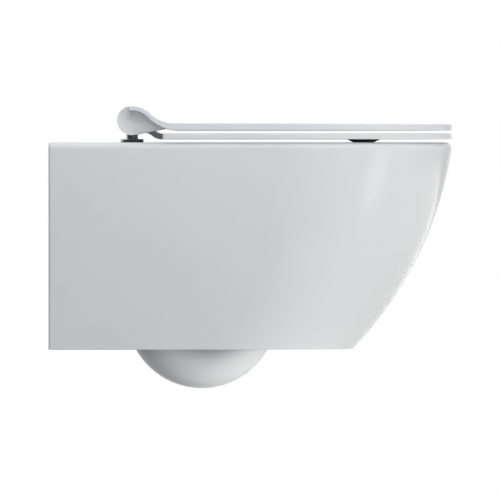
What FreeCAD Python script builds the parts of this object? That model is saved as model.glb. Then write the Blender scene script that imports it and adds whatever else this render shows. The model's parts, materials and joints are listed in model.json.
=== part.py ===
import FreeCAD, Part

# A wall hung toilet with a thin wrap-over seat on soft-closing hinges.
# Millimetres. +Z is up, the wall is the plane y = 0 and the pan reaches out along -Y.
# The origin lies on the wall, midway between the two fixing bolts. Each piece is drawn
# with the pan's rim at z = 0, or about its own axis, and is then lifted to its place.

import math
import os
from types import SimpleNamespace

import Sketcher
from FreeCAD import Placement, Rotation, Vector

# The driving sizes: alias, millimetres (degrees where the note says so), note.
SIZES = (
    ("pan_projection", 550, "wall to the pan's foremost point"),
    ("pan_width", 360, "pan across its rim"),
    ("pan_height", 282, "rim down to the skirt's lower edge"),
    ("rim_above_bolts", 85, "rim above the wall bolts"),
    ("foremost_depth", 7.8, "rim down to the foremost point"),
    ("front_radius", 505, "arc of the front, seen from the side"),
    ("skirt_front", 415, "wall to the front of the skirt's lower edge"),
    ("nose_at_rim", 236.5, "length of the rounded nose at the rim"),
    ("nose_at_foot", 177, "length of the rounded nose at the skirt's lower edge"),
    ("side_taper", 5, "how far each side draws in from rim to lower edge"),
    ("rim_rounding", 9, "outer edge of the rim"),
    ("rear_rounding", 3, "upright edges at the wall"),
    ("foot_rounding", 1.5, "lower edge of the skirt"),
    ("skirt_wall", 10, "thickness of the skirt"),
    ("rear_wall", 14, "thickness of the plate at the wall"),
    ("deck_thickness", 14, "thickness of the rim and of the deck behind it"),
    ("back_recess", 2, "depth of the hollow in the back, inside its contact rim"),
    ("back_land", 22, "width of the contact rim round the back"),
    ("bowl_wall", 10, "thickness of the bowl"),
    ("bowl_edge_rounding", 7, "upper edge of the bowl"),
    ("bowl_rear", 168, "wall to the rear of the bowl opening"),
    ("bowl_front_land", 42, "bowl opening to the pan's foremost point"),
    ("bowl_side_land", 48, "bowl opening to the pan's side"),
    ("shoulder_depth", 62, "rim down to the end of the steep upper wall"),
    ("shoulder_rear_inset", 4, "how far the rear has drawn in at that depth"),
    ("shoulder_front_inset", 8, "how far the front has drawn in at that depth"),
    ("shoulder_side_inset", 4, "how far each side has drawn in at that depth"),
    ("waist_depth", 128, "rim down to the slope into the sump"),
    ("waist_rear_inset", 21, "how far the rear has drawn in at that depth"),
    ("waist_front_inset", 65, "how far the front has drawn in at that depth"),
    ("waist_side_inset", 29, "how far each side has drawn in at that depth"),
    ("sump_depth", 205, "rim down to the water surface"),
    ("sump_length", 138, "bowl at that depth, front to back"),
    ("sump_width", 116, "bowl at that depth, across"),
    ("sump_lead", 14, "how far the sump's middle lies in front of the trap's mouth"),
    ("bowl_foot_depth", 245, "rim down to the trap's mouth"),
    ("bowl_foot_flare", 2, "how much wider than the trap the bowl's foot is all round"),
    ("trap_bore", 32, "radius of the water way through the trap"),
    ("trap_wall", 9, "thickness of the trap's tube"),
    ("trap_bend", 62, "centreline radius of the lower bend"),
    ("trap_bend_from_wall", 208, "wall to the centre of the lower bend"),
    ("trap_bend_depth", 233, "rim down to the centre of the lower bend"),
    ("trap_lead", 12, "straight tube above the lower bend, or above the bowl's foot"),
    ("outlet_below_bolts", 100, "wall bolts down to the outlet's axis"),
    ("outlet_spigot", 51, "outer radius of the outlet spigot"),
    ("outlet_bore", 43, "inner radius of the outlet spigot"),
    ("outlet_bore_depth", 45, "length of the wide stretch of the outlet"),
    ("outlet_cone", 18, "length over which the trap widens to the outlet"),
    ("outlet_collar_gap", 10, "room round the spigot for the soil connector"),
    ("outlet_collar_depth", 38, "depth of that room"),
    ("outlet_collar_wall", 9, "ceramic outside that room"),
    ("inlet_above_bolts", 35, "wall bolts up to the flush inlet's axis"),
    ("inlet_bore", 27.5, "radius of the flush inlet socket"),
    ("inlet_depth", 50, "depth of the flush inlet socket"),
    ("inlet_wall", 10.5, "ceramic round the flush inlet"),
    ("flush_bore", 22, "radius of the duct behind the socket"),
    ("flush_box_from_wall", 128, "wall to the distribution box behind the bowl"),
    ("flush_box_length", 44, "distribution box along the duct"),
    ("flush_box_width", 130, "distribution box across"),
    ("flush_box_height", 78, "distribution box, top to bottom"),
    ("flush_box_wall", 10, "thickness of the distribution box"),
    ("flush_slot_width", 96, "flush slot in the bowl's rear wall"),
    ("flush_slot_height", 16, "flush slot, top to bottom"),
    ("flush_slot_depth", 30, "rim down to the top of the flush slot"),
    ("bolt_spacing", 180, "between the two wall bolts"),
    ("bolt_boss", 24, "radius of the boss round a wall bolt"),
    ("bolt_boss_depth", 24, "depth of that boss"),
    ("bolt_hole", 11, "radius of the hole for a fixing sleeve"),
    ("stud_bore", 6.25, "radius of the way through for an M12 wall stud"),
    ("sleeve_gap", 0.2, "fixing sleeve in its hole"),
    ("sleeve_flange", 17, "radius of the fixing sleeve's flange"),
    ("sleeve_flange_depth", 3, "thickness of that flange"),
    ("wall_washer", 15, "radius of the washer on a wall stud"),
    ("wall_washer_depth", 2.5, "thickness of that washer"),
    ("wall_nut_flats", 19, "wall nut across its flats"),
    ("wall_nut_depth", 10, "height of a wall nut"),
    ("hinge_spacing", 155, "between the two hinge posts"),
    ("hinge_from_wall", 113, "wall to the hinge axis"),
    ("hinge_above_rim", 29.7, "rim up to the hinge axis"),
    ("hinge_hole", 7, "radius of a hinge hole in the deck"),
    ("gasket_radius", 15, "rubber gasket under a hinge disc"),
    ("gasket_thickness", 1, "thickness of that gasket"),
    ("disc_radius", 15.55, "chrome hinge disc"),
    ("disc_thickness", 3.6, "thickness of that disc"),
    ("disc_bevel", 0.8, "bevelled edge of that disc"),
    ("post_radius", 7.65, "chrome hinge post"),
    ("post_height", 18.2, "disc up to the top of the post"),
    ("post_bevel", 0.8, "bevelled top of the post"),
    ("screw_radius", 4, "hinge bolt's shank"),
    ("screw_gap", 0.15, "hinge bolt in the pieces round it"),
    ("screw_head", 5.6, "radius of the hinge bolt's head"),
    ("screw_head_height", 4.5, "height of that head"),
    ("screw_seat_height", 9, "disc up to the seat of that head, inside the post"),
    ("plug_radius", 6.8, "rubber sleeve in the hinge hole"),
    ("plug_length", 30, "length of that sleeve"),
    ("cone_radius", 8.5, "wide end of the cone nut"),
    ("cone_tip_radius", 6, "narrow end of the cone nut"),
    ("cone_length", 14, "length of the cone nut"),
    ("screw_end", 3, "hinge bolt past the cone nut"),
    ("roll_radius", 19.8, "hinge barrel"),
    ("block_width", 37, "fixed hinge block along the barrel"),
    ("barrel_gap", 1, "between two lengths of the barrel"),
    ("post_gap", 0.1, "post in the hinge block"),
    ("grub_radius", 2.5, "grub screw in the hinge block"),
    ("grub_length", 5, "length of that screw"),
    ("grub_above_disc", 12.6, "disc up to the grub screw"),
    ("shaft_radius", 4, "hinge shafts and pins"),
    ("shaft_flats", 5.6, "keyed end of a damper's shaft, across its flats"),
    ("shaft_in_block", 12.5, "length of a shaft held in the hinge block"),
    ("shaft_gap", 0.06, "running gap round a shaft or pin"),
    ("key_gap", 0.1, "keyed shaft, damper or bush in its seat"),
    ("damper_radius", 10.5, "soft-closing damper"),
    ("damper_length", 42, "length of that damper"),
    ("damper_inset", 3.5, "hinge block to the damper's face"),
    ("damper_shaft_reach", 28, "length of the shaft inside the damper"),
    ("damper_key_width", 4, "rib that keys a damper in its knuckle"),
    ("damper_key_height", 2, "height of that rib"),
    ("bush_radius", 6.5, "pivot bush"),
    ("bush_length", 22, "length of that bush"),
    ("bush_inset", 1.5, "hinge block to the bush's face"),
    ("ring_rise", 4.25, "rim up to the seat ring"),
    ("ring_thickness", 7.9, "thickness of the seat ring at its edge"),
    ("ring_rear", 155.1, "wall to the rear edge of the seat ring"),
    ("ring_corner", 4, "rear corners of the seat ring"),
    ("ring_opening_rear", 202, "wall to the rear of the ring's opening"),
    ("ring_front_land", 62, "that opening to the ring's front"),
    ("ring_side_land", 64, "that opening to the ring's side"),
    ("ring_dish_width", 34, "sloping band round that opening"),
    ("ring_dish_depth", 2.2, "how far that band falls"),
    ("ring_edge_rounding", 2.5, "upper outer edge of the seat ring"),
    ("ring_under_rounding", 1.2, "lower outer edge of the seat ring"),
    ("ring_hole_rounding", 2, "edges of the ring's opening"),
    ("knuckle_radius", 14.8, "ring's knuckle on the hinge axis"),
    ("neck_start", 128, "wall to where the ring's neck starts to fall"),
    ("neck_level", 13.5, "rim up to the neck's underside there"),
    ("neck_end", 153, "wall to where the neck's underside meets the ring"),
    ("neck_lean", 3.5, "how far the neck's upper side lies in front of its lower"),
    ("neck_thickness", 7.6, "height of the neck"),
    ("bumper_from_front", 120.6, "pan's foremost point back to a bumper"),
    ("bumper_from_side", 45, "pan's side in to a bumper"),
    ("bumper_length", 43.9, "bumper where it meets the ring"),
    ("bumper_width", 18, "bumper across, where it meets the ring"),
    ("bumper_foot_length", 27.8, "bumper where it meets the rim"),
    ("bumper_foot_width", 10, "bumper across, where it meets the rim"),
    ("bumper_clearance", 0.2, "bumper above the rim"),
    ("bumper_peg", 3, "radius of the pegs that hold a bumper in the ring"),
    ("bumper_peg_length", 4, "length of those pegs"),
    ("bumper_peg_spacing", 20, "between the two pegs of a bumper"),
    ("lid_gap", 3.95, "seat ring up to the lid"),
    ("lid_thickness", 10, "thickness of the lid at its edge"),
    ("lid_fall", 1.3, "how far the lid's top falls towards the front"),
    ("lid_edge_rounding", 1.4, "outer edges of the lid"),
    ("lid_recess", 5, "depth of the hollow under the lid"),
    ("lid_rim", 9, "width of the rim round that hollow"),
    ("lid_recess_rear", 190, "wall to the rear end of that hollow"),
    ("sheet_thickness", 6.3, "lid's sheet where it rolls over the barrel"),
    ("sheet_end_angle", 100, "degrees from the front round to the sheet's end"),
    ("sweep_radius", 36, "upper side of the sheet, where it leaves the barrel"),
    ("sweep_foot_radius", 50.3, "upper side, where it runs out into the lid"),
    ("sweep_under_radius", 57.5, "lower side, where it runs out into the lid"),
    ("tail_reach", 160, "wall to where the end knuckle's tail meets the lid"),
    ("tail_lift", 2.5, "lid's underside up to that point"),
    ("knuckle_inset", 23, "side of the lid to the outer face of an end knuckle"),
    ("skin_angle", 150, "degrees from the front round to the middle skin's end"),
    ("skin_gap", 0.4, "between the lid and what it turns round"),
    ("notch_depth", 17, "hinge axis to the front of the lid's notch for a block"),
)

doc = FreeCAD.newDocument("wall_hung_toilet")
sheet = doc.addObject("Spreadsheet::Sheet", "Sizes")
for row, (alias, value, note) in enumerate(SIZES, start=1):
    sheet.set(f"A{row}", note)
    sheet.set(f"B{row}", str(value))
    sheet.setAlias(f"B{row}", alias)
doc.recompute()
mm = SimpleNamespace(**{alias: float(sheet.get(alias)) for alias, value, note in SIZES})

OVERLAP = 1.0  # how far a cutting or joining shape runs past the face it crosses
SAME = 0.01  # lengths that differ by less count as equal
LOFT_STEPS = 7  # spans between the sections of the pan's outside and of its hollow
LEFT, RIGHT = -1, 1  # as seen by someone who stands in front of the toilet
SIDES = (("left", LEFT), ("right", RIGHT))
ALONG_X = Rotation(Vector(0, 1, 0), 90)  # turns a piece's own Z axis to +X
ALONG_Y = Rotation(Vector(1, 0, 0), -90)  # turns a piece's own Z axis to +Y
TO_THE_ROOM = Rotation(Vector(1, 0, 0), 90)  # turns a piece's own Z axis to -Y

# Formulas that several pieces share, written for the sheet.
BOLT_X = "Sizes.bolt_spacing / 2"
HINGE_X = "Sizes.hinge_spacing / 2"
HINGE_Y = "-Sizes.hinge_from_wall"
DISC_TOP = "Sizes.gasket_thickness + Sizes.disc_thickness"
SCREW_HOLE = "Sizes.screw_radius + Sizes.screw_gap"
HALF_BLOCK = "Sizes.block_width / 2"

parts = []


# ---------------------------------------------------------------- helpers


def set_place(thing, x="0", y="0", z="0", turn=None):
    """Turns a thing and ties its position to formulas of the sheet."""
    if turn:
        thing.Placement = Placement(Vector(), turn)
    for letter, formula in zip("xyz", (x, y, z)):
        thing.setExpression(f".Placement.Base.{letter}", formula)


def publish(thing, node, x="0", y="0", z="0", turn=None):
    """Makes a thing a sub-part: its label, and its place with z counted from the rim."""
    thing.Label = node
    set_place(thing, x, y, f"{z} + Sizes.rim_above_bolts", turn)
    parts.append(thing)
    return thing


def publish_shape(shape, node):
    """A sub-part whose shape is worked out in code, with the rim at z = 0."""
    thing = doc.addObject("Part::Feature", node)
    thing.Shape = shape
    return publish(thing, node)


def primitive(kind, name, x="0", y="0", z="0", turn=None, **formulas):
    """A Part primitive with each size tied to a formula."""
    thing = doc.addObject(f"Part::{kind}", name)
    for quantity, formula in formulas.items():
        thing.setExpression(quantity, formula)
    set_place(thing, x, y, z, turn)
    return thing


def cylinder(name, radius, height, **place):
    return primitive("Cylinder", name, Radius=radius, Height=height, **place)


def centred_box(name, length, width, height, x="0", y="0", z="0"):
    """A box centred in x and y on its place, and standing on its z."""
    corner_x = f"{x} - ({length}) / 2"
    corner_y = f"{y} - ({width}) / 2"
    sides = {"Length": length, "Width": width, "Height": height}
    return primitive("Box", name, x=corner_x, y=corner_y, z=z, **sides)


def cut(name, base, tool):
    thing = doc.addObject("Part::Cut", name)
    thing.Base = base
    thing.Tool = tool
    return thing


def several(kind, name, shapes):
    """A MultiFuse or MultiCommon of several things, or a Compound that keeps them apart."""
    thing = doc.addObject(f"Part::{kind}", name)
    if kind == "Compound":
        thing.Links = shapes
    else:
        thing.Shapes = shapes
    return thing


def origin_plane(body, role):
    return next(plane for plane in body.Origin.OriginFeatures if plane.Role == role)


def attached_sketch(body, role, name):
    sketch = body.newObject("Sketcher::SketchObject", name)
    sketch.AttachmentSupport = (origin_plane(body, role), [""])
    sketch.MapMode = "FlatFace"
    return sketch


def tie(sketch, geometry, point, formulas):
    """Ties one point of a sketch to two formulas, none of them negative."""
    axes = (("DistanceX", -2), ("DistanceY", -1))
    for (distance, axis), formula in zip(axes, formulas):
        if formula == "0":
            sketch.addConstraint(Sketcher.Constraint("PointOnObject", geometry, point, axis))
            continue
        index = sketch.addConstraint(
            Sketcher.Constraint(distance, -1, 1, geometry, point, OVERLAP)
        )
        sketch.setExpression(f"Constraints[{index}]", formula)


def draw_outline(sketch, outline):
    """A closed outline of straight lines through points given as pairs of formulas."""
    count = len(outline)
    turn = 2 * math.pi / count
    middle = Vector(1, 1, 0) * (2 * OVERLAP)
    start = [middle + Vector(math.cos(turn * i), math.sin(turn * i), 0) for i in range(count)]
    for i in range(count):
        sketch.addGeometry(Part.LineSegment(start[i], start[(i + 1) % count]), False)
    for i in range(count):
        joint = Sketcher.Constraint("Coincident", i, 2, (i + 1) % count, 1)
        sketch.addConstraint(joint)
        tie(sketch, i, 1, outline[i])


def turned(node, outline):
    """A turned piece on its own Z axis: the outline is (radius, height) formulas."""
    body = doc.addObject("PartDesign::Body", f"{node}_turned")
    sketch = attached_sketch(body, "XZ_Plane", f"{node}_profile")
    draw_outline(sketch, outline)
    revolution = body.newObject("PartDesign::Revolution", f"{node}_revolution")
    revolution.Profile = sketch
    revolution.ReferenceAxis = (sketch, ["V_Axis"])
    revolution.Angle = 360
    sketch.Visibility = False
    return body


def tube_outline(inner, outer, length):
    return ((inner, "0"), (outer, "0"), (outer, length), (inner, length))


def side_point(from_wall, above_rim, x=0.0):
    """A point of the side view: its distance from the wall and its height."""
    return Vector(x, -from_wall, above_rim)


def circle_point(centre, radius, degrees):
    """A point of a circle in the side view; the angle runs from the front over the top."""
    angle = math.radians(degrees)
    return Vector(
        centre.x, centre.y - radius * math.cos(angle), centre.z + radius * math.sin(angle)
    )


def arc_about(centre, start, end, bulge):
    """The edge of a circle about centre from start to end, on the side of bulge."""
    radius = centre.distanceToPoint(start)
    middle = centre + (bulge - centre).normalize() * radius
    return Part.Arc(start, middle, end).toShape()


def line(start, end):
    return Part.LineSegment(start, end).toShape()


def closed_face(edges):
    return Part.Face(Part.Wire(edges))


def across(face, low, high):
    """A side-view face drawn at x = 0, extruded from x = low to x = high."""
    moved = face.copy()
    moved.translate(Vector(low, 0, 0))
    return moved.extrude(Vector(high - low, 0, 0))


def d_wire(front, half_width, nose, rear, z):
    """A D seen from above: straight rear and sides, and half an ellipse at the front."""
    side_end = front - nose
    rear_left = side_point(rear, z, -half_width)
    rear_right = side_point(rear, z, half_width)
    left = side_point(side_end, z, -half_width)
    right = side_point(side_end, z, half_width)
    tip = side_point(front, z)
    centre = side_point(side_end, z)
    if nose > half_width:
        ellipse = Part.Ellipse(tip, right, centre)
    else:
        ellipse = Part.Ellipse(right, tip, centre)
    quarters = []
    for start, end in ((left, tip), (tip, right)):
        first, last = ellipse.parameter(start), ellipse.parameter(end)
        if (last - first) % (2 * math.pi) > math.pi:
            first, last = last, first
        if last < first:
            last += 2 * math.pi
        quarters.append(Part.ArcOfEllipse(ellipse, first, last).toShape())
    edges = [line(rear_left, left), *quarters, line(right, rear_right), line(rear_right, rear_left)]
    return Part.Wire(Part.__sortEdges__(edges))


def ellipse_wire(length, width, from_wall, z):
    """An ellipse seen from above, that starts and ends at its front."""
    centre = side_point(from_wall, z)
    tip = side_point(from_wall + length / 2, z)
    if length > width:
        return Part.Wire(Part.Ellipse(tip, side_point(from_wall, z, width / 2), centre).toShape())
    ellipse = Part.Ellipse(side_point(from_wall, z, -width / 2), tip, centre)
    quarter = math.pi / 2
    return Part.Wire(Part.ArcOfEllipse(ellipse, quarter, quarter + 2 * math.pi).toShape())


def column(radius, from_wall, x, low, high):
    """An upright cylinder."""
    return Part.makeCylinder(radius, high - low, side_point(from_wall, low, x))


def bar(radius, x, above_rim, near, far):
    """A cylinder along Y, from one distance from the wall to another."""
    return Part.makeCylinder(radius, far - near, side_point(near, above_rim, x), Vector(0, -1, 0))


def block(width, near, far, low, high):
    """A box across the middle of the pan, between two distances from the wall."""
    return Part.makeBox(width, far - near, high - low, Vector(-width / 2, -far, low))


def edge_middle(edge):
    return edge.valueAt((edge.FirstParameter + edge.LastParameter) / 2)


def rounded(shape, radius, wanted):
    """Rounds the edges whose middle point passes a test."""
    edges = [edge for edge in shape.Edges if wanted(edge_middle(edge), edge)]
    return shape.makeFillet(radius, edges)


def level(edge, z):
    """True for an edge that lies in the plane at z."""
    ends = [edge.valueAt(edge.FirstParameter), edge.valueAt(edge.LastParameter)]
    return all(abs(point.z - z) < SAME for point in ends + [edge_middle(edge)])


# ---------------------------------------------------------------- pan


def front_at(depth):
    """Wall to the pan's front at a depth below the rim: one arc in the side view."""
    upper = (mm.pan_projection, -mm.foremost_depth)
    lower = (mm.skirt_front, -mm.pan_height)
    chord = math.dist(upper, lower)
    away = math.sqrt(mm.front_radius**2 - (chord / 2) ** 2) / chord
    centre_y = (upper[0] + lower[0]) / 2 - away * (upper[1] - lower[1])
    centre_z = (upper[1] + lower[1]) / 2 + away * (upper[0] - lower[0])
    return centre_y + math.sqrt(mm.front_radius**2 - (-depth - centre_z) ** 2)


def pan_section(depth, inset=0.0, rear=0.0):
    """The pan's D at a depth below the rim, drawn in by a wall thickness."""
    share = depth / mm.pan_height
    nose = mm.nose_at_rim + share * (mm.nose_at_foot - mm.nose_at_rim)
    half_width = mm.pan_width / 2 - share * mm.side_taper
    return d_wire(front_at(depth) - inset, half_width - inset, nose - inset, rear, -depth)


def pan_loft(top, bottom, **walls):
    depths = [top + (bottom - top) * i / LOFT_STEPS for i in range(LOFT_STEPS + 1)]
    return Part.makeLoft([pan_section(depth, **walls) for depth in depths], True, False)


def outer_pan():
    behind = block(mm.pan_width + 2 * OVERLAP, -2 * OVERLAP, 0, -mm.pan_height - OVERLAP, OVERLAP)
    shape = pan_loft(0, mm.pan_height, rear=-OVERLAP).cut(behind)
    shape = rounded(
        shape, mm.rim_rounding, lambda middle, edge: level(edge, 0) and middle.y < -OVERLAP
    )
    shape = rounded(
        shape,
        mm.rear_rounding,
        lambda middle, edge: abs(middle.y) < SAME
        and abs(middle.x) > mm.pan_width / 4
        and not level(edge, middle.z),
    )
    return rounded(
        shape, mm.foot_rounding, lambda middle, edge: level(edge, -mm.pan_height)
    )


def bowl_section(depth, rear_inset=0.0, front_inset=0.0, side_inset=0.0):
    """The bowl's length, width and distance from the wall, drawn in from its rim."""
    rear = mm.bowl_rear + rear_inset
    front = mm.pan_projection - mm.bowl_front_land - front_inset
    width = mm.pan_width - 2 * (mm.bowl_side_land + side_inset)
    return depth, front - rear, width, (front + rear) / 2


def bowl_loft(wall):
    """The bowl's inside, or its outside where a wall thickness is given."""
    top = -OVERLAP if wall == 0 else OVERLAP
    foot = 2 * (mm.trap_bore + mm.bowl_foot_flare)
    trap_mouth = mm.trap_bend_from_wall + mm.trap_bend
    sections = (
        bowl_section(top),
        bowl_section(
            mm.shoulder_depth,
            mm.shoulder_rear_inset,
            mm.shoulder_front_inset,
            mm.shoulder_side_inset,
        ),
        bowl_section(
            mm.waist_depth, mm.waist_rear_inset, mm.waist_front_inset, mm.waist_side_inset
        ),
        (mm.sump_depth, mm.sump_length, mm.sump_width, trap_mouth + mm.sump_lead),
        (mm.bowl_foot_depth, foot, foot, trap_mouth),
    )
    wires = [
        ellipse_wire(length + 2 * wall, width + 2 * wall, from_wall, -depth)
        for depth, length, width, from_wall in sections
    ]
    return Part.makeLoft(wires, True, False)


def outlet_height():
    return -mm.rim_above_bolts - mm.outlet_below_bolts


def trap_tube(radius, extra):
    """The water way: down out of the bowl, under, up again and out to the wall."""
    axis = outlet_height()
    low = -mm.trap_bend_depth
    centre = side_point(mm.trap_bend_from_wall, low)
    mouth = side_point(mm.trap_bend_from_wall + mm.trap_bend, low)
    rising = side_point(mm.trap_bend_from_wall - mm.trap_bend, low)
    start = Vector(*mouth)
    start.z = mm.trap_lead + extra - min(mm.trap_bend_depth, mm.bowl_foot_depth)
    rise = axis - low
    turn_centre = rising + Vector(0, rise, 0)
    turn_end = turn_centre + Vector(0, 0, rise)
    end = side_point(-extra, axis)
    path = Part.Wire(
        [
            line(start, mouth),
            arc_about(centre, mouth, rising, centre + Vector(0, 0, -1)),
            arc_about(turn_centre, rising, turn_end, turn_centre + Vector(0, -1, 1)),
            line(turn_end, end),
        ]
    )
    section = Part.Wire(Part.Circle(start, Vector(0, 0, 1), radius).toShape())
    return path.makePipeShell([section], True, False)


def back_hollow():
    """The shallow hollow in the back, which leaves lands round every opening."""
    half = mm.pan_width / 2 - mm.side_taper - mm.back_land
    hollow = block(
        2 * half, -OVERLAP, mm.back_recess, -mm.pan_height + mm.back_land, -mm.back_land
    )
    collar = mm.outlet_spigot + mm.outlet_collar_gap + mm.outlet_collar_wall
    places = [
        (mm.inlet_bore + mm.inlet_wall, 0, mm.inlet_above_bolts - mm.rim_above_bolts),
        (collar, 0, outlet_height()),
    ]
    for _, side in SIDES:
        places.append((mm.bolt_boss, side * mm.bolt_spacing / 2, -mm.rim_above_bolts))
    lands = [bar(*place, -2 * OVERLAP, mm.back_recess + OVERLAP) for place in places]
    return hollow.cut(lands)


def ways_through(inlet, outlet, collar, flush_top, flush_end):
    """Everything that is hollow in the casting, as solids to cut away."""
    wall = mm.flush_box_wall
    box_near = mm.flush_box_from_wall + wall
    slot_top = -mm.flush_slot_depth
    hollows = [
        bowl_loft(0),
        trap_tube(mm.trap_bore, OVERLAP),
        bar(mm.outlet_bore, 0, outlet, -OVERLAP, mm.outlet_bore_depth),
        Part.makeCone(
            mm.outlet_bore,
            mm.trap_bore,
            mm.outlet_cone,
            side_point(mm.outlet_bore_depth, outlet),
            Vector(0, -1, 0),
        ),
        bar(collar, 0, outlet, -OVERLAP, mm.outlet_collar_depth).cut(
            bar(mm.outlet_spigot, 0, outlet, -2 * OVERLAP, mm.outlet_collar_depth + OVERLAP)
        ),
        bar(mm.inlet_bore, 0, inlet, -OVERLAP, mm.inlet_depth),
        bar(mm.flush_bore, 0, inlet, 0, box_near + OVERLAP),
        block(
            mm.flush_box_width - 2 * wall,
            box_near,
            flush_end - wall,
            flush_top - mm.flush_box_height + wall,
            -mm.deck_thickness - wall / 2,
        ),
        block(
            mm.flush_slot_width,
            flush_end - wall - OVERLAP,
            flush_end + mm.flush_box_length,
            slot_top - mm.flush_slot_height,
            slot_top,
        ),
        back_hollow(),
    ]
    for _, side in SIDES:
        x = side * mm.bolt_spacing / 2
        hinge_x = side * mm.hinge_spacing / 2
        through_deck = -mm.deck_thickness - OVERLAP
        hollows += [
            bar(mm.bolt_hole, x, -mm.rim_above_bolts, -OVERLAP, mm.bolt_boss_depth + OVERLAP),
            column(mm.hinge_hole, mm.hinge_from_wall, hinge_x, through_deck, OVERLAP),
        ]
    return hollows


def make_pan():
    """The casting as five pieces that meet face to face, so that no hollow is closed up.

    They are the outer shell with its rim, the plate at the wall, and between them the
    bowl, the trap with the outlet, and the way of the flush water.
    """
    inlet = mm.inlet_above_bolts - mm.rim_above_bolts
    outlet = outlet_height()
    flush_end = mm.flush_box_from_wall + mm.flush_box_length
    flush_top = -mm.deck_thickness + OVERLAP
    collar = mm.outlet_spigot + mm.outlet_collar_gap
    collar_end = mm.outlet_collar_depth + mm.skirt_wall
    rear = mm.rear_wall
    low = -2 * mm.pan_height
    at_the_wall = block(mm.pan_width, -OVERLAP, rear, low, -mm.deck_thickness)
    inside = block(mm.pan_width, rear, mm.pan_projection, low, -mm.deck_thickness)

    outer = outer_pan()
    cavity = pan_loft(
        mm.deck_thickness, mm.pan_height + OVERLAP, inset=mm.skirt_wall, rear=-OVERLAP
    )
    plate = outer.common(cavity).common(at_the_wall)
    for _, side in SIDES:
        x = side * mm.bolt_spacing / 2
        boss = bar(mm.bolt_boss, x, -mm.rim_above_bolts, OVERLAP, mm.bolt_boss_depth)
        plate = plate.fuse(boss)
    plate = plate.cut(bar(collar, 0, outlet, -OVERLAP, rear + OVERLAP))
    bowl = bowl_loft(mm.bowl_wall).common(inside)
    trap = trap_tube(mm.trap_bore + mm.trap_wall, 0).fuse(
        [
            bar(mm.outlet_spigot, 0, outlet, 0, mm.outlet_bore_depth + mm.outlet_cone),
            bar(collar + mm.outlet_collar_wall, 0, outlet, rear, collar_end),
        ]
    )
    duct_end = mm.flush_box_from_wall + OVERLAP
    flush_low = flush_top - mm.flush_box_height
    socket = bar(mm.inlet_bore + mm.inlet_wall, 0, inlet, rear, mm.inlet_depth + mm.inlet_wall)
    flush_way = socket.fuse(
        [
            bar(mm.flush_bore + mm.inlet_wall, 0, inlet, rear, duct_end),
            block(mm.flush_box_width, mm.flush_box_from_wall, flush_end, flush_low, flush_top),
        ]
    )

    hollows = ways_through(inlet, outlet, collar, flush_top, flush_end)
    depth, length, width, from_wall = bowl_section(0)
    shell = rounded(
        outer.cut([cavity, *hollows]),
        mm.bowl_edge_rounding,
        lambda middle, edge: level(edge, 0)
        and abs(abs(middle.y + from_wall) - length / 2) < 2 * OVERLAP,
    )
    return {
        "pan": shell,
        "pan_back": plate.cut(hollows),
        "pan_bowl": bowl.cut(hollows),
        "pan_trap": trap.cut([bowl, *hollows]),
        "pan_flush_way": flush_way.common(inside).cut([bowl, *hollows]),
    }


for pan_node, pan_shape in make_pan().items():
    publish_shape(pan_shape, pan_node)


# ---------------------------------------------------------------- wall fixings


def make_wall_fixings():
    """Sleeve, washer and nut on each wall stud, outwards from the back."""
    washer_at = "Sizes.bolt_boss_depth + Sizes.sleeve_flange_depth"
    nut_at = f"{washer_at} + Sizes.wall_washer_depth"
    sleeve_radius = "Sizes.bolt_hole - Sizes.sleeve_gap"
    sleeve_end = "Sizes.bolt_boss_depth + Sizes.sleeve_flange_depth"
    groups = {"wall_fixing_sleeves": [], "wall_fixing_washers": [], "wall_fixing_nuts": []}
    for word, side in SIDES:
        stud_x = f"{side} * {BOLT_X}"
        sleeve = turned(
            f"wall_sleeve_{word}",
            (
                ("Sizes.stud_bore", "0"),
                (sleeve_radius, "0"),
                (sleeve_radius, "Sizes.bolt_boss_depth"),
                ("Sizes.sleeve_flange", "Sizes.bolt_boss_depth"),
                ("Sizes.sleeve_flange", sleeve_end),
                ("Sizes.stud_bore", sleeve_end),
            ),
        )
        set_place(sleeve, x=stud_x, turn=TO_THE_ROOM)
        washer = turned(
            f"wall_washer_{word}",
            tube_outline("Sizes.stud_bore", "Sizes.wall_washer", "Sizes.wall_washer_depth"),
        )
        set_place(washer, x=stud_x, y=f"-({washer_at})", turn=TO_THE_ROOM)
        hexagon = primitive(
            "Prism",
            f"wall_nut_hexagon_{word}",
            Circumradius="Sizes.wall_nut_flats / sqrt(3)",
            Height="Sizes.wall_nut_depth",
        )
        hole = cylinder(f"wall_nut_hole_{word}", "Sizes.stud_bore", "Sizes.wall_nut_depth")
        nut = cut(f"wall_nut_{word}", hexagon, hole)
        set_place(nut, x=stud_x, y=f"-({nut_at})", turn=TO_THE_ROOM)
        for group, piece in zip(groups.values(), (sleeve, washer, nut)):
            group.append(piece)
    for node, pieces in groups.items():
        publish(several("Compound", node, pieces), node, z="-Sizes.rim_above_bolts")


make_wall_fixings()


# ---------------------------------------------------------------- fixed hinge hardware


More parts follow.
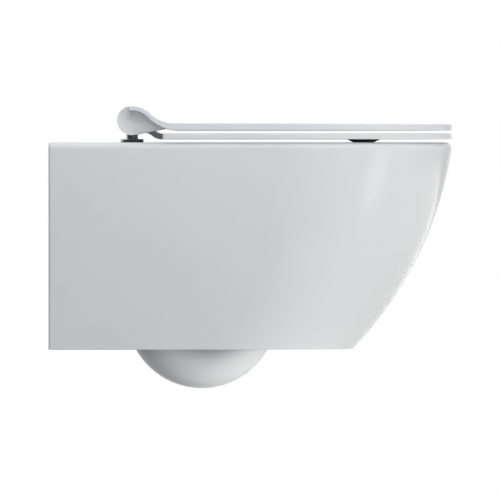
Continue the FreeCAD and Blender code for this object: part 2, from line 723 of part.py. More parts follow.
def make_hinge_fixing(word, side):
    """What clamps one hinge post to the deck, from the disc down to the cone nut."""
    x = f"{side} * {HINGE_X}"
    place = {"x": x, "y": HINGE_Y}
    seat = f"{DISC_TOP} + Sizes.screw_seat_height"
    plug_foot = "Sizes.gasket_thickness + Sizes.plug_length"
    cone_foot = f"{plug_foot} + Sizes.cone_length"
    shank = f"{seat} + {cone_foot} + Sizes.screw_end"
    head_bore = "Sizes.screw_head + Sizes.screw_gap"

    gasket = turned(
        f"hinge_gasket_{word}",
        tube_outline(SCREW_HOLE, "Sizes.gasket_radius", "Sizes.gasket_thickness"),
    )
    publish(gasket, f"hinge_gasket_{word}", **place)

    disc = turned(
        f"hinge_disc_{word}",
        (
            (SCREW_HOLE, "0"),
            ("Sizes.disc_radius", "0"),
            ("Sizes.disc_radius", "Sizes.disc_thickness - Sizes.disc_bevel"),
            ("Sizes.disc_radius - Sizes.disc_bevel", "Sizes.disc_thickness"),
            (SCREW_HOLE, "Sizes.disc_thickness"),
        ),
    )
    publish(disc, f"hinge_disc_{word}", z="Sizes.gasket_thickness", **place)

    post = turned(
        f"hinge_post_{word}",
        (
            (SCREW_HOLE, "0"),
            ("Sizes.post_radius", "0"),
            ("Sizes.post_radius", "Sizes.post_height - Sizes.post_bevel"),
            ("Sizes.post_radius - Sizes.post_bevel", "Sizes.post_height"),
            (head_bore, "Sizes.post_height"),
            (head_bore, "Sizes.screw_seat_height"),
            (SCREW_HOLE, "Sizes.screw_seat_height"),
        ),
    )
    publish(post, f"hinge_post_{word}", z=DISC_TOP, **place)

    screw = turned(
        f"hinge_bolt_{word}",
        (
            ("0", "0"),
            ("Sizes.screw_radius", "0"),
            ("Sizes.screw_radius", shank),
            ("Sizes.screw_head", shank),
            ("Sizes.screw_head", f"{shank} + Sizes.screw_head_height"),
            ("0", f"{shank} + Sizes.screw_head_height"),
        ),
    )
    publish(screw, f"hinge_bolt_{word}", z=f"-({cone_foot} + Sizes.screw_end)", **place)

    plug = turned(
        f"hinge_plug_{word}", tube_outline(SCREW_HOLE, "Sizes.plug_radius", "Sizes.plug_length")
    )
    publish(plug, f"hinge_plug_{word}", z=f"-({plug_foot})", **place)

    cone = turned(
        f"hinge_cone_nut_{word}",
        (
            (SCREW_HOLE, "0"),
            ("Sizes.cone_radius", "0"),
            ("Sizes.cone_tip_radius", "Sizes.cone_length"),
            (SCREW_HOLE, "Sizes.cone_length"),
        ),
    )
    publish(cone, f"hinge_cone_nut_{word}", z=f"-({cone_foot})", **place)


def keyed_bar(name, radius, flats, length, **place):
    """A round bar with two flats, drawn along Z."""
    rod = cylinder(f"{name}_rod", radius, length)
    slab = centred_box(f"{name}_slab", f"2 * ({radius})", flats, length)
    keyed = several("MultiCommon", name, [rod, slab])
    set_place(keyed, **place)
    return keyed


def make_hinge_block(word, side):
    """A fixed length of the barrel, with a socket for the post and a bore at each end."""
    name = f"hinge_block_{word}"
    bevel = "Sizes.post_bevel"
    radius = "Sizes.roll_radius"
    barrel = turned(
        name,
        (
            ("0", "0"),
            (f"{radius} - {bevel}", "0"),
            (radius, bevel),
            (radius, f"Sizes.block_width - {bevel}"),
            (f"{radius} - {bevel}", "Sizes.block_width"),
            ("0", "Sizes.block_width"),
        ),
    )
    set_place(barrel, x=f"-{HALF_BLOCK}", turn=ALONG_X)
    post_top = f"{DISC_TOP} + Sizes.post_height + Sizes.post_gap - Sizes.hinge_above_rim"
    socket = cylinder(
        f"{name}_socket",
        "Sizes.post_radius + Sizes.post_gap",
        f"{post_top} + 2 * {radius}",
        z=f"-2 * {radius}",
    )
    bore_radius = "Sizes.shaft_radius + Sizes.key_gap"
    key_bore = keyed_bar(
        f"{name}_key_bore",
        bore_radius,
        "Sizes.shaft_flats + 2 * Sizes.key_gap",
        "Sizes.shaft_in_block",
        x=f"-{HALF_BLOCK}",
        turn=ALONG_X,
    )
    pin_bore = cylinder(
        f"{name}_pin_bore",
        bore_radius,
        "Sizes.shaft_in_block",
        x=f"{HALF_BLOCK} - Sizes.shaft_in_block",
        turn=ALONG_X,
    )
    grub_bore = cylinder(
        f"{name}_grub_bore",
        "Sizes.grub_radius + Sizes.key_gap",
        f"2 * {radius}",
        z=f"{DISC_TOP} + Sizes.grub_above_disc - Sizes.hinge_above_rim",
        turn=ALONG_Y,
    )
    bores = several("MultiFuse", f"{name}_bores", [socket, key_bore, pin_bore, grub_bore])
    finished = cut(f"{name}_cut", barrel, bores)
    publish(finished, name, x=f"{side} * {HINGE_X}", y=HINGE_Y, z="Sizes.hinge_above_rim")


def make_grub_screws():
    """One screw in the back of each hinge block, up against its post."""
    pieces = []
    for word, side in SIDES:
        screw = turned(
            f"grub_screw_{word}",
            (
                ("0", "0"),
                ("Sizes.grub_radius - Sizes.disc_bevel", "0"),
                ("Sizes.grub_radius", "Sizes.disc_bevel"),
                ("Sizes.grub_radius", "Sizes.grub_length"),
                ("0", "Sizes.grub_length"),
            ),
        )
        set_place(
            screw,
            x=f"{side} * {HINGE_X}",
            y="Sizes.post_radius - Sizes.hinge_from_wall",
            z=f"{DISC_TOP} + Sizes.grub_above_disc",
            turn=ALONG_Y,
        )
        pieces.append(screw)
    publish(several("Compound", "hinge_grub_screws", pieces), "hinge_grub_screws")


# Each hinge block carries a damper's shaft on its left side and a pin on its right side.
# The left block serves the lid outside it and the ring inside it, the right block the
# ring inside it and the lid outside it.
DAMPERS = (("lid", LEFT), ("seat", RIGHT))
PIVOTS = (("seat", LEFT), ("lid", RIGHT))
TO_THE_LEFT = Rotation(Vector(0, 1, 0), -90)  # turns a piece's own Z axis to -X
ON_AXIS = {"y": HINGE_Y, "z": "Sizes.hinge_above_rim"}


def make_damper(owner, side):
    """The soft-closing cartridge and the keyed shaft on which it turns."""
    shaft_name = f"{owner}_damper_shaft"
    keyed = keyed_bar(
        f"{shaft_name}_key", "Sizes.shaft_radius", "Sizes.shaft_flats", "Sizes.shaft_in_block"
    )
    journal = cylinder(
        f"{shaft_name}_journal",
        "Sizes.shaft_radius",
        "Sizes.damper_inset + Sizes.damper_shaft_reach",
        z="Sizes.shaft_in_block",
    )
    shaft = several("MultiFuse", f"{shaft_name}_fused", [keyed, journal])
    shaft_x = f"{side} * {HINGE_X} - {HALF_BLOCK} + Sizes.shaft_in_block"
    publish(shaft, shaft_name, x=shaft_x, turn=TO_THE_LEFT, **ON_AXIS)

    name = f"{owner}_damper_body"
    case = cylinder(f"{name}_case", "Sizes.damper_radius", "Sizes.damper_length")
    rib_reach = "Sizes.damper_radius + Sizes.damper_key_height"
    rib = centred_box(
        f"{name}_rib",
        rib_reach,
        "Sizes.damper_key_width",
        "Sizes.damper_length",
        x=f"({rib_reach}) / 2",
    )
    hole = cylinder(
        f"{name}_hole",
        "Sizes.shaft_radius + Sizes.shaft_gap",
        "Sizes.damper_shaft_reach + Sizes.post_gap",
    )
    ribbed = several("MultiFuse", f"{name}_ribbed", [case, rib])
    body_x = f"{side} * {HINGE_X} - {HALF_BLOCK} - Sizes.damper_inset"
    publish(cut(f"{name}_cut", ribbed, hole), name, x=body_x, turn=TO_THE_LEFT, **ON_AXIS)


def make_pivot(owner, side):
    """The plain pin in the hinge block, and the bush that turns on it."""
    length = "Sizes.shaft_in_block + Sizes.bush_inset + Sizes.bush_length"
    bevel = "Sizes.disc_bevel"
    pin = turned(
        f"{owner}_pivot_pin",
        (
            ("0", "0"),
            ("Sizes.shaft_radius", "0"),
            ("Sizes.shaft_radius", f"{length} - {bevel}"),
            (f"Sizes.shaft_radius - {bevel}", length),
            ("0", length),
        ),
    )
    pin_x = f"{side} * {HINGE_X} + {HALF_BLOCK} - Sizes.shaft_in_block"
    publish(pin, f"{owner}_pivot_pin", x=pin_x, turn=ALONG_X, **ON_AXIS)
    bush = turned(
        f"{owner}_pivot_bush",
        tube_outline(
            "Sizes.shaft_radius + Sizes.shaft_gap", "Sizes.bush_radius", "Sizes.bush_length"
        ),
    )
    bush_x = f"{side} * {HINGE_X} + {HALF_BLOCK} + Sizes.bush_inset"
    publish(bush, f"{owner}_pivot_bush", x=bush_x, turn=ALONG_X, **ON_AXIS)


for side_word, side_sign in SIDES:
    make_hinge_fixing(side_word, side_sign)
    make_hinge_block(side_word, side_sign)
make_grub_screws()
for owner_word, side_sign in DAMPERS:
    make_damper(owner_word, side_sign)
for owner_word, side_sign in PIVOTS:
    make_pivot(owner_word, side_sign)


# ---------------------------------------------------------------- shared by ring and lid

HINGE_AXIS = side_point(mm.hinge_from_wall, mm.hinge_above_rim)
BLOCK_NEAR = (mm.hinge_spacing - mm.block_width) / 2  # middle of the pan to a hinge block
BLOCK_FAR = (mm.hinge_spacing + mm.block_width) / 2
KNUCKLE_HALF = BLOCK_NEAR - mm.barrel_gap
END_KNUCKLE_START = BLOCK_FAR + mm.barrel_gap
LID_LOW = mm.ring_rise + mm.ring_thickness + mm.lid_gap


def axis_bar(radius, low, high):
    """A cylinder on the hinge axis, from x = low to x = high."""
    start = HINGE_AXIS + Vector(low, 0, 0)
    return Part.makeCylinder(radius, high - low, start, Vector(1, 0, 0))


def damper_seat(side):
    """The keyed hollow for a damper, to the left of a hinge block."""
    face = side * mm.hinge_spacing / 2 - mm.block_width / 2
    end = face - mm.damper_inset - mm.damper_length - mm.key_gap
    bore = axis_bar(mm.damper_radius + mm.key_gap, end, face)
    width = mm.damper_key_width + 2 * mm.key_gap
    height = mm.damper_radius + mm.damper_key_height + mm.key_gap
    corner = HINGE_AXIS + Vector(end, -width / 2, 0)
    return bore.fuse(Part.makeBox(face - end, width, height, Vector(*corner)))


def bush_seat(side):
    """The hollow for a pivot bush, to the right of a hinge block."""
    face = side * mm.hinge_spacing / 2 + mm.block_width / 2
    end = face + mm.bush_inset + mm.bush_length + mm.key_gap
    return axis_bar(mm.bush_radius + mm.key_gap, face, end)


def seat_outline(inset, rear, low, height):
    """A flat slab with the outline of the pan's rim, drawn in by inset."""
    wire = d_wire(
        mm.pan_projection - inset, mm.pan_width / 2 - inset, mm.nose_at_rim - inset, rear, low
    )
    slab = Part.Face(wire).extrude(Vector(0, 0, height))
    return rounded(
        slab,
        mm.ring_corner,
        lambda middle, edge: abs(middle.y + rear) < SAME and not level(edge, middle.z),
    )


# ---------------------------------------------------------------- seat ring


def s_bend(start, end):
    """Two equal arcs from one level to another, level at both ends."""
    run = abs(end.y - start.y)
    drop = end.z - start.z
    radius = (run**2 + drop**2) / (4 * drop)
    middle = (start + end) / 2
    first = start + Vector(0, 0, radius)
    second = end - Vector(0, 0, radius)
    return [
        arc_about(first, start, middle, (start + middle) / 2),
        arc_about(second, middle, end, (middle + end) / 2),
    ]


def ring_neck():
    """The tongue that climbs from the ring's rear edge to its knuckle."""
    lift = Vector(0, -mm.neck_lean, mm.neck_thickness)
    low_start = side_point(mm.neck_start, mm.neck_level)
    low_end = side_point(mm.neck_end, mm.ring_rise)
    high_start = low_start + lift
    high_end = low_end + lift
    plate_low = side_point(mm.ring_rear + mm.ring_corner / 2, mm.ring_rise)
    plate_high = Vector(0, plate_low.y, high_end.z)
    root = HINGE_AXIS - Vector(0, 0, mm.knuckle_radius - mm.skin_gap)
    edges = [
        line(root, low_start),
        *s_bend(low_start, low_end),
        line(low_end, plate_low),
        line(plate_low, plate_high),
        line(plate_high, high_end),
        *s_bend(high_start, high_end)[::-1],
        line(high_start, HINGE_AXIS),
        line(HINGE_AXIS, root),
    ]
    return across(closed_face(Part.__sortEdges__(edges)), -KNUCKLE_HALF, KNUCKLE_HALF)


def bumper_place(side):
    x = side * (mm.pan_width / 2 - mm.bumper_from_side)
    return x, mm.pan_projection - mm.bumper_from_front


def bumper_pegs(side, radius, length):
    """The pegs of one bumper, standing up from the ring's underside."""
    x, from_wall = bumper_place(side)
    low, high = mm.ring_rise, mm.ring_rise + length
    step = mm.bumper_peg_spacing / 2
    return [column(radius, from_wall + way * step, x, low, high) for way in (-1, 1)]


def make_ring():
    low = mm.ring_rise
    high = low + mm.ring_thickness
    ring = seat_outline(0, mm.ring_rear, low, mm.ring_thickness)
    ring = rounded(ring, mm.ring_edge_rounding, lambda middle, edge: level(edge, high))
    ring = rounded(ring, mm.ring_under_rounding, lambda middle, edge: level(edge, low))

    opening_front = mm.pan_projection - mm.ring_front_land
    length = opening_front - mm.ring_opening_rear
    width = mm.pan_width - 2 * mm.ring_side_land
    centre = (opening_front + mm.ring_opening_rear) / 2
    hole = Part.Face(ellipse_wire(length, width, centre, low - OVERLAP)).extrude(
        Vector(0, 0, mm.ring_thickness + 2 * OVERLAP)
    )
    spread = 2 * mm.ring_dish_width * (1 + OVERLAP / mm.ring_dish_depth)
    dish_foot = ellipse_wire(length, width, centre, high - mm.ring_dish_depth)
    dish_edge = ellipse_wire(length + spread, width + spread, centre, high + OVERLAP)
    dish = Part.makeLoft([dish_foot, dish_edge], True, False)
    ring = ring.cut([hole, dish])
    ring = rounded(
        ring,
        mm.ring_hole_rounding,
        lambda middle, edge: abs(abs(middle.y + centre) - length / 2) < SAME
        and (level(edge, low) or level(edge, high - mm.ring_dish_depth)),
    )
    knuckle = axis_bar(mm.knuckle_radius, -KNUCKLE_HALF, KNUCKLE_HALF)
    ring = ring.fuse([ring_neck(), knuckle]).removeSplitter()
    removed = [damper_seat(RIGHT), bush_seat(LEFT)]
    for _, side in SIDES:
        removed += bumper_pegs(
            side, mm.bumper_peg + mm.key_gap, mm.bumper_peg_length + mm.key_gap
        )
    return ring.cut(removed)


def make_bumper(side):
    """A tapered oval pad under the ring, on two pegs."""
    x, from_wall = bumper_place(side)
    foot = ellipse_wire(
        mm.bumper_foot_length, mm.bumper_foot_width, from_wall, mm.bumper_clearance
    )
    head = ellipse_wire(mm.bumper_length, mm.bumper_width, from_wall, mm.ring_rise)
    pad = Part.makeLoft([foot, head], True, True)
    pad.translate(Vector(x, 0, 0))
    return pad.fuse(bumper_pegs(side, mm.bumper_peg, mm.bumper_peg_length))


publish_shape(make_ring(), "seat_ring")
for side_word, side_sign in SIDES:
    publish_shape(make_bumper(side_sign), f"seat_bumper_{side_word}")


# ---------------------------------------------------------------- lid


def sweep(radius, foot_radius, foot_height):
    """The S in which one side of the sheet falls from over the barrel to the lid."""
    centre = HINGE_AXIS + Vector(0, 0, mm.roll_radius - mm.sweep_radius)
    rise = foot_height + foot_radius - centre.z
    run = math.sqrt((radius + foot_radius) ** 2 - rise**2)
    foot_centre = centre + Vector(0, -run, rise)
    meeting = centre + (foot_centre - centre) * (radius / (radius + foot_radius))
    top = centre + Vector(0, 0, radius)
    foot = foot_centre - Vector(0, 0, foot_radius)
    edges = [
        arc_about(centre, top, meeting, (top + meeting) / 2),
        arc_about(foot_centre, meeting, foot, (meeting + foot) / 2),
    ]
    return edges, top, foot


def lid_sheet():
    """The lid seen from the side, from the sheet's end on the barrel to the front."""
    thickness = mm.sheet_thickness
    lid_high = LID_LOW + mm.lid_thickness
    upper, upper_top, upper_foot = sweep(mm.sweep_radius, mm.sweep_foot_radius, lid_high)
    lower, lower_top, lower_foot = sweep(
        mm.sweep_radius - thickness, mm.sweep_under_radius, LID_LOW
    )
    front = -mm.pan_projection - OVERLAP
    front_high = Vector(0, front, lid_high - mm.lid_fall)
    front_low = Vector(0, front, LID_LOW)
    reach = upper_foot.y - front
    crown = (reach**2 + mm.lid_fall**2) / (2 * mm.lid_fall)
    outer_end = circle_point(HINGE_AXIS, mm.roll_radius, mm.sheet_end_angle)
    inner_end = circle_point(HINGE_AXIS, mm.roll_radius - thickness, mm.sheet_end_angle)
    edges = [
        arc_about(HINGE_AXIS, outer_end, upper_top, (outer_end + upper_top) / 2),
        *upper,
        arc_about(
            upper_foot - Vector(0, 0, crown), upper_foot, front_high, (upper_foot + front_high) / 2
        ),
        line(front_high, front_low),
        line(front_low, lower_foot),
        *lower,
        arc_about(HINGE_AXIS, inner_end, lower_top, (inner_end + lower_top) / 2),
        line(inner_end, outer_end),
    ]
    half = mm.pan_width / 2
    wide = across(closed_face(Part.__sortEdges__(edges)), -half - OVERLAP, half + OVERLAP)
    rear = mm.hinge_from_wall - 2 * mm.roll_radius
    outline = d_wire(mm.pan_projection, half, mm.nose_at_rim, rear, 0)
    prism = Part.Face(outline).extrude(Vector(0, 0, mm.hinge_above_rim + 2 * mm.roll_radius))
    return wide.common(prism)


def on_the_outline(middle, edge):
    """True for the long upper and lower edges round the lid."""
    start = edge.valueAt(edge.FirstParameter)
    end = edge.valueAt(edge.LastParameter)
    upright = math.hypot(start.x - end.x, start.y - end.y) < OVERLAP
    half = mm.pan_width / 2
    straight = mm.pan_projection - mm.nose_at_rim
    along = max(0.0, (-middle.y - straight) / mm.nose_at_rim)
    off_the_outline = half * abs(math.hypot(middle.x / half, along) - 1)
    return not upright and off_the_outline < SAME and -middle.y > mm.hinge_from_wall


def end_knuckle(side):
    """A length of the barrel at one side of the lid, with the tail that carries it."""
    tail_point = side_point(mm.tail_reach, LID_LOW + mm.tail_lift)
    reach = tail_point - HINGE_AXIS
    tilt = math.degrees(math.atan2(reach.z, -reach.y))
    tangent = circle_point(
        HINGE_AXIS,
        mm.roll_radius,
        tilt - math.degrees(math.acos(mm.roll_radius / reach.Length)),
    )
    upper, top, foot = sweep(
        mm.sweep_radius, mm.sweep_foot_radius, LID_LOW + mm.lid_thickness
    )
    below_foot = Vector(0, foot.y, 0)
    below_top = Vector(0, top.y, 0)
    below_sheet = closed_face(
        [*upper, line(foot, below_foot), line(below_foot, below_top), line(below_top, top)]
    )
    over_tail = Vector(0, tail_point.y, 2 * top.z)
    over_axis = Vector(0, top.y, 2 * top.z)
    corners = [HINGE_AXIS, tangent, tail_point, over_tail, over_axis, HINGE_AXIS]
    above_tail = closed_face(Part.makePolygon(corners).Edges)
    knuckle_end = mm.pan_width / 2 - mm.knuckle_inset
    low, high = sorted((side * END_KNUCKLE_START, side * knuckle_end))
    tail = across(below_sheet, low, high).common(across(above_tail, low, high))
    return axis_bar(mm.roll_radius, low, high).fuse(tail)


def middle_skin():
    """The sheet carried on over the ring's knuckle, between the two hinge blocks."""
    inner = mm.knuckle_radius + mm.skin_gap
    outer_start = circle_point(HINGE_AXIS, mm.roll_radius, 90)
    outer_end = circle_point(HINGE_AXIS, mm.roll_radius, mm.skin_angle)
    inner_start = circle_point(HINGE_AXIS, inner, 90)
    inner_end = circle_point(HINGE_AXIS, inner, mm.skin_angle)
    sector = closed_face(
        [
            arc_about(HINGE_AXIS, outer_start, outer_end, (outer_start + outer_end) / 2),
            line(outer_end, inner_end),
            arc_about(HINGE_AXIS, inner_end, inner_start, (inner_end + inner_start) / 2),
            line(inner_start, outer_start),
        ]
    )
    return across(sector, -KNUCKLE_HALF, KNUCKLE_HALF)


def block_notch(side):
    """Room in the lid for a hinge block, its post and its disc over the whole travel."""
    low, high = sorted((side * KNUCKLE_HALF, side * END_KNUCKLE_START))
    front = mm.hinge_from_wall + mm.notch_depth
    rear = mm.hinge_from_wall - 2 * mm.roll_radius
    top = mm.hinge_above_rim + 2 * mm.roll_radius
    open_end = Part.makeBox(high - low, front - rear, top, Vector(low, -front, 0))
    return axis_bar(mm.roll_radius + mm.skin_gap, low, high).fuse(open_end)


def make_lid():
    lid = lid_sheet()
    lid = rounded(lid, mm.lid_edge_rounding, on_the_outline)
    lid = lid.fuse([end_knuckle(LEFT), end_knuckle(RIGHT), middle_skin()]).removeSplitter()
    hollow = seat_outline(
        mm.lid_rim, mm.lid_recess_rear, LID_LOW - OVERLAP, mm.lid_recess + OVERLAP
    )
    return lid.cut(
        [
            hollow,
            axis_bar(mm.knuckle_radius + mm.skin_gap, -KNUCKLE_HALF, KNUCKLE_HALF),
            block_notch(LEFT),
            block_notch(RIGHT),
            damper_seat(LEFT),
            bush_seat(RIGHT),
        ]
    )


publish_shape(make_lid(), "lid")


# ---------------------------------------------------------------- check and write

def check_and_write():
    doc.recompute()
    faults = [
        thing.Name for thing in doc.Objects if {"Invalid", "Error"} & set(map(str, thing.State))
    ]
    for part in parts:
        shape = part.Shape
        if shape.isNull() or not shape.isValid():
            faults.append(part.Label)
    if faults:
        raise RuntimeError("these objects failed: " + ", ".join(faults))
    os.makedirs("parts", exist_ok=True)
    for part in parts:
        part.Shape.exportStep(f"parts/{part.Label}.step")
        print(part.Label, len(part.Shape.Solids), round(part.Shape.Volume))


check_and_write()
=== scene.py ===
import json

import bpy
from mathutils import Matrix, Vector


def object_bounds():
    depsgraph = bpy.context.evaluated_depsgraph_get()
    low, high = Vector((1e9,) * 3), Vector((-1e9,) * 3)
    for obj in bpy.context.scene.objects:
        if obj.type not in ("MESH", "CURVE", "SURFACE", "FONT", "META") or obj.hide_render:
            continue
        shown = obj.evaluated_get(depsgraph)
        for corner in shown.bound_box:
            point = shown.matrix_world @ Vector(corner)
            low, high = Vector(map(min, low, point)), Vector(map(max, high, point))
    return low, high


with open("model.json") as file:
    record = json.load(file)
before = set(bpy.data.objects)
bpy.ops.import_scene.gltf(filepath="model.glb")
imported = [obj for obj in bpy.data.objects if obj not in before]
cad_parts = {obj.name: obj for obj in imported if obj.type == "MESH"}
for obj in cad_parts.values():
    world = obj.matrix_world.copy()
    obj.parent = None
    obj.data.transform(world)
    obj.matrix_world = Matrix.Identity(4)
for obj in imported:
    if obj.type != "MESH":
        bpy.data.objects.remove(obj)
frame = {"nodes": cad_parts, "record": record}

cad_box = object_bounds()
scene = bpy.context.scene
nodes = frame["nodes"]

# Lengths are in metres. The wall is the plane y = 0, and the pan reaches out along -Y.
pan_length = cad_box[1][1] - cad_box[0][1]


# ---------------------------------------------------------------- camera

# The photograph is a straight side view from far off. The camera looks along +X at a point
# of the middle plane. It stands a little higher, near the seat's own height, so that the
# seat's undersides hardly show.
PICTURE = 500  # pixels across the picture
PAN_IN_PICTURE = 402.2  # pixels that the pan's length takes up
DISTANCE = 30.0
AIM = (0.0, -0.2741, -0.0621)
EYE_LEVEL = 0.07
SENSOR = 36.0  # millimetres, like the lens
CLIP_START, CLIP_END = 1.0, 200.0


def place_object(name, data):
    thing = bpy.data.objects.new(name, data)
    scene.collection.objects.link(thing)
    return thing


def look_at(thing, place, towards):
    """Cameras and lamps look along their own -Z axis."""
    thing.location = place
    direction = Vector(towards) - Vector(place)
    thing.rotation_euler = direction.to_track_quat("-Z", "Y").to_euler()


camera_data = bpy.data.cameras.new("camera")
camera_data.sensor_width = SENSOR
camera_data.lens = PAN_IN_PICTURE / pan_length / PICTURE * DISTANCE * SENSOR
camera_data.clip_start = CLIP_START
camera_data.clip_end = CLIP_END
camera = place_object("camera", camera_data)
look_at(camera, (AIM[0] - DISTANCE, AIM[1], EYE_LEVEL), AIM)
scene.camera = camera


# ---------------------------------------------------------------- node helpers

def new_material(name):
    material = bpy.data.materials.new(name)
    material.use_nodes = True
    tree = material.node_tree
    tree.nodes.clear()
    output = tree.nodes.new("ShaderNodeOutputMaterial")
    shader = tree.nodes.new("ShaderNodeBsdfPrincipled")
    tree.links.new(shader.outputs["BSDF"], output.inputs["Surface"])
    return material, tree, shader


def set_values(node, values):
    """Each key is the name of an input, with _ for every blank."""
    for key, value in values.items():
        node.inputs[key.replace("_", " ")].default_value = value


def add(tree, kind, **values):
    node = tree.nodes.new(kind)
    set_values(node, values)
    return node


def noise(tree, scale, detail, stretch=None):
    """Noise laid on the object's own coordinates, in metres."""
    place = tree.nodes.new("ShaderNodeTexCoord")
    source = place.outputs["Object"]
    if stretch:
        mapping = add(tree, "ShaderNodeMapping", Scale=stretch)
        tree.links.new(source, mapping.inputs["Vector"])
        source = mapping.outputs["Vector"]
    texture = add(tree, "ShaderNodeTexNoise", Scale=scale, Detail=detail)
    tree.links.new(source, texture.inputs["Vector"])
    return texture.outputs["Fac"]


# Where most of a noise's values lie.
NOISE_SPAN = (0.3, 0.7)


def ranged(tree, source, low, high, span=NOISE_SPAN):
    """Takes the span of a value to low and high, and clamps what lies outside."""
    node = add(tree, "ShaderNodeMapRange",
               From_Min=span[0], From_Max=span[1], To_Min=low, To_Max=high)
    tree.links.new(source, node.inputs["Value"])
    return node.outputs["Result"]


def between(tree, factor, first, second):
    """A colour between two, of which each is three numbers or another node's output."""
    mix = tree.nodes.new("ShaderNodeMix")
    mix.data_type = "RGBA"
    for key, colour in (("A", first), ("B", second)):
        if isinstance(colour, tuple):
            mix.inputs[key].default_value = (*colour, 1)
        else:
            tree.links.new(colour, mix.inputs[key])
    tree.links.new(factor, mix.inputs["Factor"])
    return mix.outputs["Result"]


def worked_out(tree, operation, first, second):
    node = tree.nodes.new("ShaderNodeMath")
    node.operation = operation
    for number, source in enumerate((first, second)):
        tree.links.new(source, node.inputs[number])
    return node.outputs["Value"]


def bump(tree, shader, layers):
    """Bumps on top of each other; each layer is (height source, depth in metres)."""
    normal = None
    for source, depth in layers:
        node = add(tree, "ShaderNodeBump", Strength=1.0, Distance=depth)
        tree.links.new(source, node.inputs["Height"])
        if normal is not None:
            tree.links.new(normal, node.inputs["Normal"])
        normal = node.outputs["Normal"]
    tree.links.new(normal, shader.inputs["Normal"])


# ---------------------------------------------------------------- materials

made = {}


def surface(name, colours, cloud, roughness, grain, bumps, **values):
    """A material whose colour and roughness each drift between two values.

    cloud is the noise that moves the colour, and grain the one that moves the roughness,
    each as (scale, detail). bumps holds ((scale, detail), depth in metres) for each layer.
    """
    made[name], tree, shader = new_material(name)
    drift = ranged(tree, noise(tree, *cloud), 0, 1)
    tree.links.new(between(tree, drift, *colours), shader.inputs["Base Color"])
    tree.links.new(ranged(tree, noise(tree, *grain), *roughness), shader.inputs["Roughness"])
    bump(tree, shader, [(noise(tree, *pattern), depth) for pattern, depth in bumps])
    set_values(shader, values)


# White sanitary glaze: glassy, very faintly wavy, with a trace of cloudiness.
surface("glaze",
        colours=((0.800, 0.806, 0.815), (0.822, 0.826, 0.832)), cloud=(9.0, 3.0),
        roughness=(0.10, 0.16), grain=(60.0, 4.0),
        bumps=[((22.0, 1.0), 0.00012), ((420.0, 2.0), 0.000004)], IOR=1.52)

# Pressed white thermoset, glossy, with a finer skin than the glaze.
surface("seat_plastic",
        colours=((0.800, 0.803, 0.818), (0.815, 0.817, 0.828)), cloud=(14.0, 2.0),
        roughness=(0.17, 0.25), grain=(150.0, 4.0),
        bumps=[((900.0, 2.0), 0.000003)], IOR=1.50)

surface("chrome",
        colours=((0.60, 0.61, 0.62), (0.70, 0.71, 0.72)), cloud=(240.0, 3.0),
        roughness=(0.05, 0.12), grain=(700.0, 4.0),
        bumps=[((1500.0, 2.0), 0.000002)], Metallic=1.0)

surface("black_rubber",
        colours=((0.006, 0.006, 0.007), (0.012, 0.012, 0.013)), cloud=(300.0, 3.0),
        roughness=(0.48, 0.66), grain=(900.0, 4.0),
        bumps=[((1800.0, 3.0), 0.00002)], Specular_IOR_Level=0.25)

surface("grey_plastic",
        colours=((0.20, 0.205, 0.21), (0.25, 0.255, 0.26)), cloud=(120.0, 3.0),
        roughness=(0.42, 0.55), grain=(700.0, 3.0),
        bumps=[((1400.0, 2.0), 0.00001)])


def turned_steel(name):
    """Steel with fine level streaks, which move its colour, roughness and height alike."""
    dull, bright = (0.46, 0.46, 0.47), (0.60, 0.60, 0.61)
    made[name], tree, shader = new_material(name)
    streaks = ranged(tree, noise(tree, scale=500.0, detail=5.0, stretch=(1.0, 1.0, 9.0)), 0, 1)
    tree.links.new(between(tree, streaks, dull, bright), shader.inputs["Base Color"])
    shine = ranged(tree, streaks, low=0.28, high=0.42, span=(0, 1))
    tree.links.new(shine, shader.inputs["Roughness"])
    bump(tree, shader, [(streaks, 0.00001)])
    set_values(shader, {"Metallic": 1.0})


turned_steel("bright_steel")

for subpart in frame["record"]["subparts"]:
    mesh = nodes[subpart["node"]].data
    mesh.materials.clear()
    mesh.materials.append(made[subpart["material_slot"]])


# ---------------------------------------------------------------- floor

# The floor lies below the picture's lower edge, so the photograph's view shows none of it.
FLOOR = -0.46
FLOOR_REACH = 3.5
FLOOR_COLOURS = ((0.76, 0.76, 0.76), (0.79, 0.79, 0.79))
FLOOR_CLOUD = (1.3, 2.0)
FLOOR_ROUGHNESS = 0.9
# The floor is pale to look at, but throws only a little light back up at the object.
FLOOR_BOUNCE = (0.2, 0.2, 0.2)

corners = ((-1, -1), (1, -1), (1, 1), (-1, 1))
floor_mesh = bpy.data.meshes.new("floor")
floor_mesh.from_pydata(
    [(x * FLOOR_REACH, y * FLOOR_REACH, FLOOR) for x, y in corners], [], [(0, 1, 2, 3)])
floor = place_object("floor", floor_mesh)
floor_material, tree, shader = new_material("floor")
cloud = ranged(tree, noise(tree, *FLOOR_CLOUD), 0, 1)
pale = between(tree, cloud, *FLOOR_COLOURS)
bounced = tree.nodes.new("ShaderNodeLightPath").outputs["Is Diffuse Ray"]
tree.links.new(between(tree, bounced, pale, FLOOR_BOUNCE), shader.inputs["Base Color"])
set_values(shader, {"Roughness": FLOOR_ROUGHNESS})
floor.data.materials.append(floor_material)


# ---------------------------------------------------------------- light

WHITE, BLACK = (1, 1, 1), (0, 0, 0)
PALE_ROOM = (0.68, 0.68, 0.69)
DARK_ROOM = (0.05, 0.05, 0.052)
# The middle of the room's dark side, and the cosines from it between which it fades out.
# It also fades out upwards, between two sines of the elevation.
DARK_SIDE = (-0.887, -0.462, 0.0)
DARK_EDGE = (-0.7, -0.5)
DARK_TOP = (0.45, 0.75)


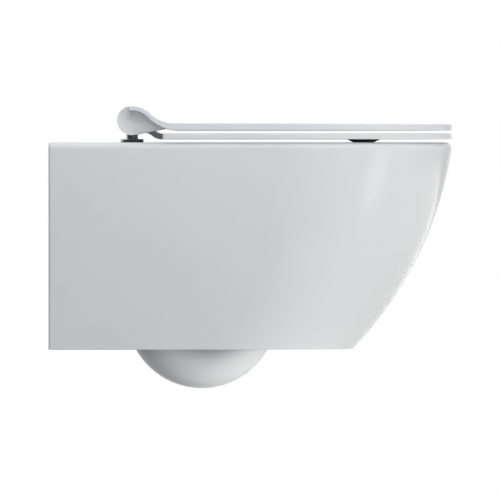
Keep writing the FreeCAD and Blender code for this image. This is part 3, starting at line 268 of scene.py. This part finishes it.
def make_world():
    """White to the eye. Reflections show a room that is pale overhead and on the far side.

    It is dark elsewhere, for the polished metal to show. Only the lamps and the floor
    light the object.
    """
    world = bpy.data.worlds.new("studio")
    world.use_nodes = True
    scene.world = world
    tree = world.node_tree
    tree.nodes.clear()
    rays = tree.nodes.new("ShaderNodeLightPath").outputs
    direction = tree.nodes.new("ShaderNodeTexCoord").outputs["Generated"]
    level = tree.nodes.new("ShaderNodeVectorMath")
    level.operation = "DOT_PRODUCT"
    level.inputs[1].default_value = DARK_SIDE
    tree.links.new(direction, level.inputs[0])
    upright = tree.nodes.new("ShaderNodeSeparateXYZ")
    tree.links.new(direction, upright.inputs["Vector"])
    dark = worked_out(
        tree, "MULTIPLY",
        ranged(tree, level.outputs["Value"], 0, 1, DARK_EDGE),
        ranged(tree, upright.outputs["Z"], 1, 0, DARK_TOP))
    room = between(tree, dark, PALE_ROOM, DARK_ROOM)
    lit = tree.nodes.new("ShaderNodeBackground")
    tree.links.new(between(tree, rays["Is Glossy Ray"], WHITE, room), lit.inputs["Color"])
    unlit = add(tree, "ShaderNodeBackground", Color=(*BLACK, 1))
    seen = worked_out(tree, "MAXIMUM", rays["Is Camera Ray"], rays["Is Glossy Ray"])
    seen = worked_out(tree, "MAXIMUM", seen, rays["Is Transmission Ray"])
    mix = tree.nodes.new("ShaderNodeMixShader")
    tree.links.new(seen, mix.inputs["Fac"])
    tree.links.new(unlit.outputs["Background"], mix.inputs[1])
    tree.links.new(lit.outputs["Background"], mix.inputs[2])
    output = tree.nodes.new("ShaderNodeOutputWorld")
    tree.links.new(mix.outputs["Shader"], output.inputs["Surface"])


make_world()


def soft_box(name, place, towards, width, power, colour):
    """A square lamp that faces a point. No reflection shows it."""
    data = bpy.data.lights.new(name, "AREA")
    data.shape = "SQUARE"
    data.size = width
    data.energy = power
    data.color = colour
    lamp = place_object(name, data)
    lamp.visible_camera = False
    lamp.visible_glossy = False
    look_at(lamp, place, towards)
    return lamp


COOL = (0.968, 0.982, 1.018)
NEUTRAL = (1.004, 1.0, 0.988)
# What the lamps face: the middle of the toilet, the trap below it, and the gap between
# deck and seat, in which the ring's neck is.
MIDDLE = (0.0, -0.25, -0.05)
UNDERSIDE = (0.0, -0.2, -0.22)
GAP = (0.0, -0.17, 0.09)

# Each lamp: name, place, the point it faces, width, power in watts, colour. The one that
# faces the gap stands level with it.
LAMPS = (
    ("top", (0.0, -0.3, 3.2), MIDDLE, 3.0, 56.8, COOL),
    ("near_side", (-3.5, -0.3, 0.3), MIDDLE, 3.0, 49.5, COOL),
    ("near_gap", (-3.5, GAP[1], GAP[2]), GAP, 0.35, 5.0, COOL),
    ("near_top", (-0.9, -0.3, 0.9), MIDDLE, 0.8, 4.1, COOL),
    ("far_side", (3.2, 0.6, 0.8), MIDDLE, 3.0, 25.0, NEUTRAL),
    ("far_front", (2.6, -2.0, 1.0), MIDDLE, 3.0, 75.8, NEUTRAL),
    ("rear", (1.5, 2.8, 1.0), MIDDLE, 3.0, 60.0, NEUTRAL),
)
# These reach the underside: the trap would be dark beside the skirt without them. They
# stand close to the floor, so they leave it out, or it would show bright patches.
LOW_LAMPS = (
    ("low_front", (-1.2, -2.2, -0.32), UNDERSIDE, 0.5, 23.0, NEUTRAL),
    ("floor_front", (0.0, -1.2, -0.42), UNDERSIDE, 0.5, 2.5, NEUTRAL),
    ("under_skirt", (-0.12, -0.34, -0.44), UNDERSIDE, 0.15, 0.36, NEUTRAL),
)

for row in LAMPS:
    soft_box(*row)

left_out = bpy.data.collections.new("left_out_by_low_lamps")
left_out.objects.link(floor)
left_out.collection_objects[0].light_linking.link_state = "EXCLUDE"
for row in LOW_LAMPS:
    soft_box(*row).light_linking.receiver_collection = left_out


# ---------------------------------------------------------------- end

scene.view_settings.view_transform = "Standard"
